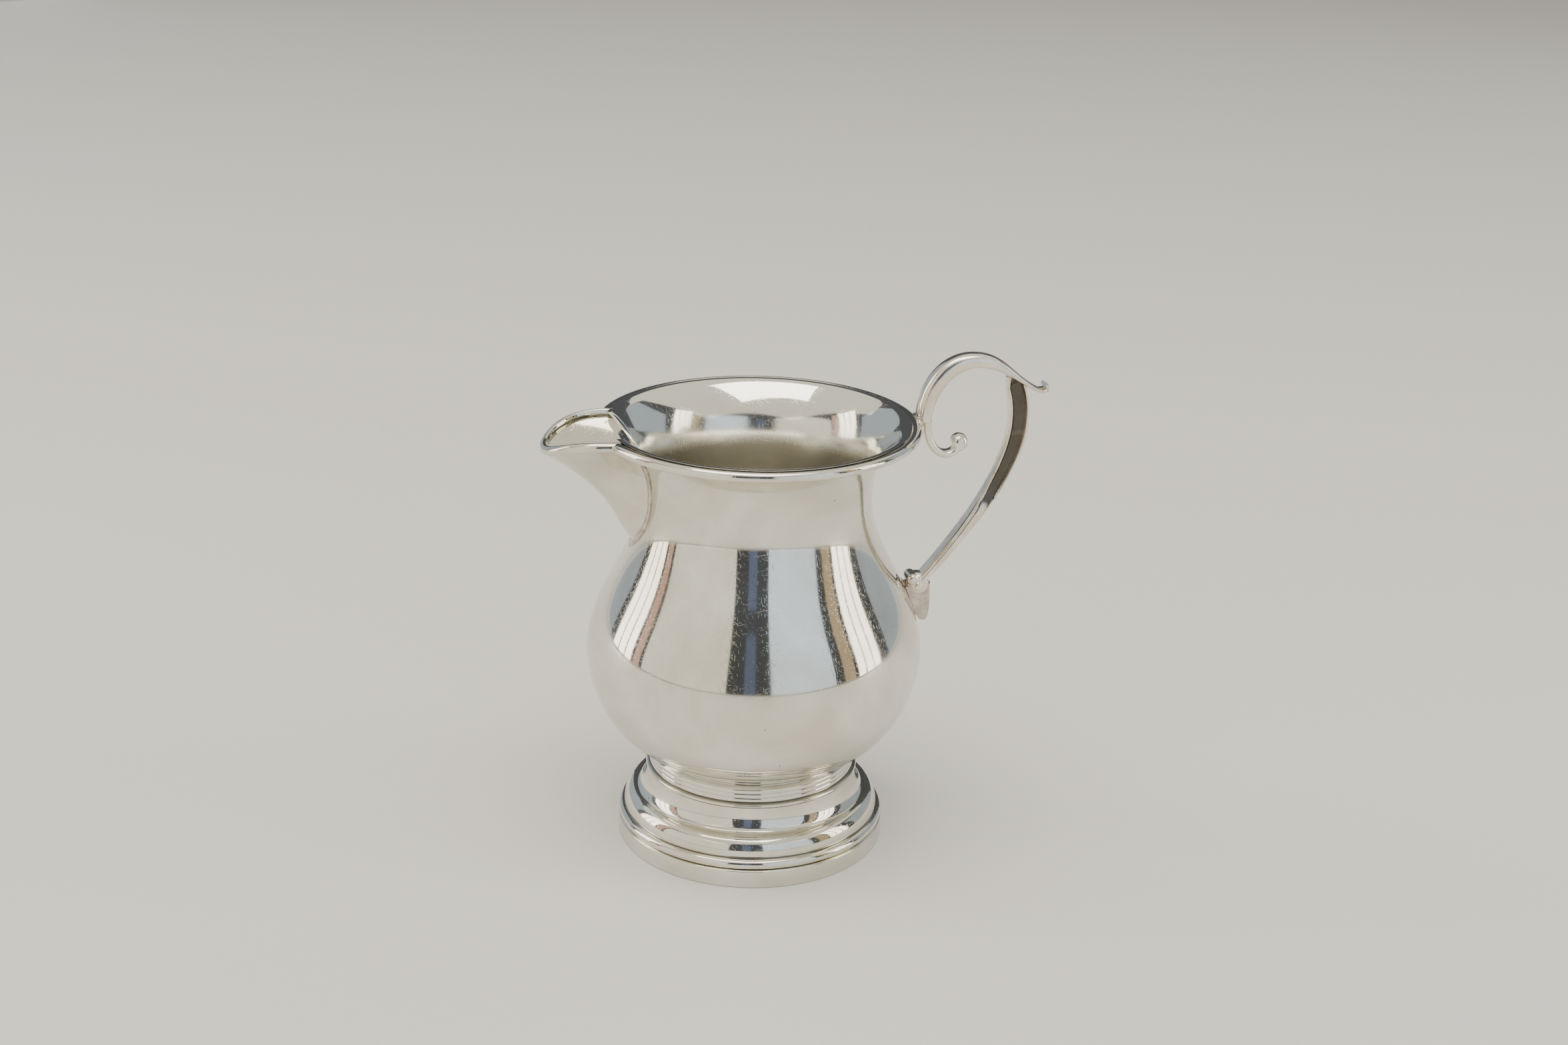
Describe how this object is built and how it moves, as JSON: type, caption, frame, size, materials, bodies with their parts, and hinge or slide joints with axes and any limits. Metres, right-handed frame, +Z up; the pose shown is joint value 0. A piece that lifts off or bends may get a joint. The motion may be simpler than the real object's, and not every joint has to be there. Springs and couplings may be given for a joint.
{
  "type": "cream jug",
  "caption": "Small silver cream jug: baluster body on a moulded foot, open soldered spout, wired rim and a channelled flying scroll handle.",
  "frame": {"origin": "centre of the flat face of the foot ring, on which the jug rests", "axes": "+Z up, +X towards the handle, -X towards the spout; the jug is mirrored about the plane y = 0"},
  "size_m": [0.0964, 0.0644, 0.0962],
  "materials": {
    "polished_silver": "polished",
    "cast_silver": "softly polished casting",
    "solder": "dull, slightly rough"
  },
  "bodies": {
    "root": {"body": "polished_silver", "spout": "polished_silver", "rim_wire": "polished_silver", "spout_wire": "polished_silver", "foot": "polished_silver", "foot_ring": "polished_silver", "handle_scroll": "cast_silver", "inner_scroll": "cast_silver", "handle_limb": "cast_silver", "handle_knuckle": "cast_silver", "handle_shoe": "cast_silver", "rim_solder": "solder", "shoe_solder": "solder", "spout_solder": "solder", "foot_solder": "solder"}
  },
  "joints": []
}
